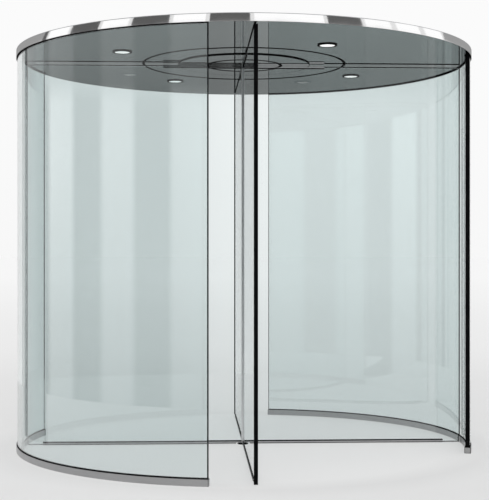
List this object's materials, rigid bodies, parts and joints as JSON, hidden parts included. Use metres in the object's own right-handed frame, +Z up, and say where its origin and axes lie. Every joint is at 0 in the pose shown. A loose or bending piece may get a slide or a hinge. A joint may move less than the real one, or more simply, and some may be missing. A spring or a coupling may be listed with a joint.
{
  "type": "revolving door",
  "caption": "All-glass revolving door: bent-glass drum walls on slim rails, a thin round canopy with downlights, and a turning rotor of glass wings.",
  "frame": {"origin": "on the floor at the drum's axis", "axes": "+Z up along the axis of rotation, the way through along Y with the front at -Y, +X to the right of someone who faces the door"},
  "size_m": [2.5998, 2.5998, 2.244],
  "materials": {
    "polished_steel": "polished",
    "satin_steel": "satin",
    "end_cap_metal": "satin",
    "wall_glass": "gloss",
    "wing_glass": "gloss",
    "black_rubber": "satin",
    "ceiling_gloss": "gloss",
    "roof_sheet": "satin",
    "black_trim": "satin",
    "dark_steel": "satin",
    "diffuser": "satin"
  },
  "bodies": {
    "enclosure": {"left_base_rail": "satin_steel", "right_base_rail": "satin_steel", "base_rail_end_caps": "end_cap_metal", "left_base_gasket": "black_rubber", "right_base_gasket": "black_rubber", "left_wall_glass": "wall_glass", "right_wall_glass": "wall_glass", "left_wall_edge_seals": "black_rubber", "right_wall_edge_seals": "black_rubber", "left_top_gasket": "black_rubber", "right_top_gasket": "black_rubber", "canopy_fascia": "polished_steel", "canopy_roof": "roof_sheet", "ceiling_panel": "ceiling_gloss", "downlight_bezels": "black_trim", "downlight_lenses": "diffuser", "floor_pivot": "dark_steel"},
    "rotor": {"turntable": "ceiling_gloss", "hub_ring": "ceiling_gloss", "hub_cap": "ceiling_gloss", "turntable_rings": "black_trim", "centre_post": "satin_steel", "wing_glass_1": "wing_glass", "wing_glass_2": "wing_glass", "wing_glass_3": "wing_glass", "wing_glass_4": "wing_glass", "wing_top_clamp_1": "polished_steel", "wing_top_clamp_2": "polished_steel", "wing_top_clamp_3": "polished_steel", "wing_top_clamp_4": "polished_steel", "wing_bottom_rail_1": "satin_steel", "wing_bottom_rail_2": "satin_steel", "wing_bottom_rail_3": "satin_steel", "wing_bottom_rail_4": "satin_steel", "wing_edge_seal_1": "black_rubber", "wing_edge_seal_2": "black_rubber", "wing_edge_seal_3": "black_rubber", "wing_edge_seal_4": "black_rubber", "wing_top_seals": "black_rubber", "wing_bottom_gaskets": "black_rubber"}
  },
  "joints": [
    {"name": "rotor_spin", "type": "hinge", "parent": "enclosure", "child": "rotor", "pos_m": [0, 0, 0], "axis": [0, 0, 1], "continuous": true}
  ]
}
